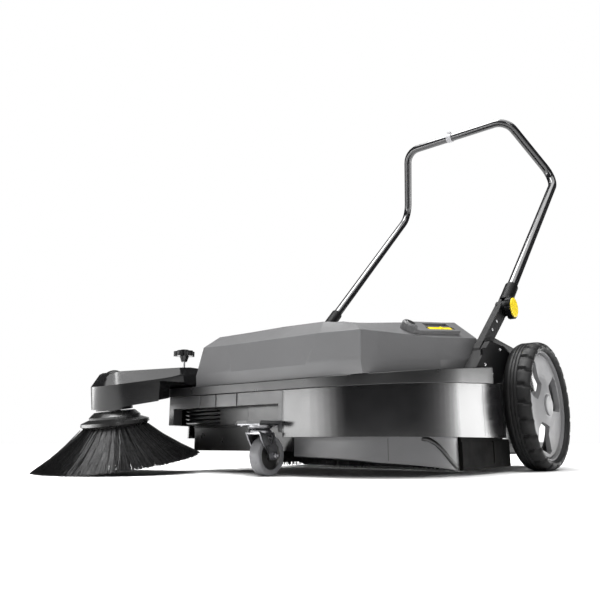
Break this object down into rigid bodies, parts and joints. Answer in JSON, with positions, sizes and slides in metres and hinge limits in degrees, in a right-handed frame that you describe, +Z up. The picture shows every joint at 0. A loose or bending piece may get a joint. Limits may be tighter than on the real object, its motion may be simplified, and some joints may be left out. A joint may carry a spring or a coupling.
{
  "type": "walk behind sweeper",
  "caption": "Push sweeper with folding tube handle, grey hood over a black hull, large rear wheels, front castor and a tilted round side brush on an arm.",
  "frame": {"origin": "on the floor under the wheel axle, midway between the wheels", "axes": "+X forward toward the side brush, +Y to the machine's left, +Z up"},
  "size_m": [1.2891, 0.813, 1.054],
  "materials": {
    "hull_black": "glossy",
    "trim_black": "matte",
    "hood_grey": "satin",
    "signal_yellow": "satin",
    "handle_black": "glossy",
    "clip_grey": "satin",
    "tyre_rubber": "matte",
    "rim_grey": "satin",
    "steel": "brushed",
    "bristle_black": "matte",
    "seal_rubber": "matte",
    "zinc": "polished",
    "castor_rubber": "satin"
  },
  "bodies": {
    "chassis": {"chassis_shell": "hull_black", "rim_band": "trim_black", "front_frame": "trim_black", "intake_louvre": "trim_black", "front_baffle": "trim_black", "front_apron": "hull_black", "left_side_panel": "trim_black", "right_side_panel": "trim_black", "brush_tunnel": "trim_black", "hood": "hood_grey", "adjuster_panel": "hood_grey", "left_bracket": "trim_black", "right_bracket": "trim_black", "left_arm_plate": "trim_black", "right_arm_plate": "trim_black", "castor_plate": "zinc", "arm_bracket": "trim_black", "drive_belt": "seal_rubber", "rear_flap": "seal_rubber"},
    "left_wheel": {"left_tyre": "tyre_rubber", "left_rim": "rim_grey", "left_hub_cap": "rim_grey", "left_shaft": "steel"},
    "right_wheel": {"right_tyre": "tyre_rubber", "right_rim": "rim_grey", "right_hub_cap": "rim_grey", "right_shaft": "steel"},
    "roller": {"roller_core": "trim_black", "roller_bristles": "bristle_black"},
    "slider": {"height_slider": "signal_yellow"},
    "button": {"lock_button": "trim_black"},
    "handle": {"handle_tube": "handle_black", "handle_clip": "clip_grey", "left_sleeve": "trim_black", "right_sleeve": "trim_black"},
    "left_knob": {"left_clamp_knob": "trim_black", "left_knob_cap": "signal_yellow", "left_clamp_screw": "steel"},
    "right_knob": {"right_clamp_knob": "trim_black", "right_knob_cap": "signal_yellow", "right_clamp_screw": "steel"},
    "castor_swivel": {"castor_fork": "zinc"},
    "castor_wheel": {"castor_tyre": "castor_rubber", "castor_hub": "clip_grey"},
    "brush_arm": {"arm_housing": "hull_black", "arm_dome": "trim_black"},
    "arm_knob": {"star_knob": "trim_black", "star_rod": "steel"},
    "side_brush": {"side_hub": "trim_black", "side_bristles": "bristle_black"},
    "container": {"container_tub": "hull_black"},
    "grip": {"container_grip": "trim_black"}
  },
  "joints": [
    {"name": "left_wheel_spin", "type": "hinge", "parent": "chassis", "child": "left_wheel", "pos_m": [0, 0.311, 0.139], "axis": [0, 1, 0], "continuous": true},
    {"name": "right_wheel_spin", "type": "hinge", "parent": "chassis", "child": "right_wheel", "pos_m": [0, -0.311, 0.139], "axis": [0, 1, 0], "continuous": true},
    {"name": "roller_spin", "type": "hinge", "parent": "chassis", "child": "roller", "pos_m": [0.272, 0, 0.1115], "axis": [0, 1, 0], "continuous": true},
    {"name": "height_adjust", "type": "slide", "parent": "chassis", "child": "slider", "axis": [0.9897, -0.0779, -0.1201], "range_m": [-0.005, 0.009]},
    {"name": "button_press", "type": "slide", "parent": "chassis", "child": "button", "axis": [-0.143, -0.5783, -0.8032], "range_m": [0, 0.001], "stiffness_N_per_m": 300, "springref_m": -0.002},
    {"name": "handle_fold", "type": "hinge", "parent": "chassis", "child": "handle", "pos_m": [0.026, 0, 0.36], "axis": [0, 1, 0], "range_deg": [0, 100]},
    {"name": "left_knob_turn", "type": "hinge", "parent": "handle", "child": "left_knob", "pos_m": [0.026, 0.278, 0.36], "axis": [0, 1, 0], "range_deg": [-180, 180]},
    {"name": "right_knob_turn", "type": "hinge", "parent": "handle", "child": "right_knob", "pos_m": [0.026, -0.278, 0.36], "axis": [0, 1, 0], "range_deg": [-180, 180]},
    {"name": "castor_swivel_turn", "type": "hinge", "parent": "chassis", "child": "castor_swivel", "pos_m": [0.566, 0, 0.082], "axis": [0, 0, 1], "continuous": true},
    {"name": "castor_wheel_spin", "type": "hinge", "parent": "castor_swivel", "child": "castor_wheel", "pos_m": [0.546, 0, 0.036], "axis": [0, 1, 0], "continuous": true},
    {"name": "arm_lift", "type": "hinge", "parent": "chassis", "child": "brush_arm", "pos_m": [0.484, -0.262, 0.194], "axis": [0, 1, 0], "range_deg": [-8, 0]},
    {"name": "arm_knob_turn", "type": "hinge", "parent": "brush_arm", "child": "arm_knob", "pos_m": [0.532, -0.254, 0.24], "axis": [0, 0, 1], "range_deg": [-180, 180]},
    {"name": "side_brush_spin", "type": "hinge", "parent": "brush_arm", "child": "side_brush", "pos_m": [0.654, -0.314, 0.104], "axis": [0.1461, 0, 0.9893], "continuous": true},
    {"name": "container_slide", "type": "slide", "parent": "chassis", "child": "container", "axis": [-1, 0, 0], "range_m": [0, 0.4]},
    {"name": "grip_fold", "type": "hinge", "parent": "container", "child": "grip", "pos_m": [-0.26, 0, 0.18], "axis": [0, 1, 0], "range_deg": [0, 90]}
  ],
  "couplings": [
    {"joint": "roller_spin", "follows": "left_wheel_spin", "ratio": 2.7},
    {"joint": "side_brush_spin", "follows": "right_wheel_spin", "ratio": 1.6}
  ]
}
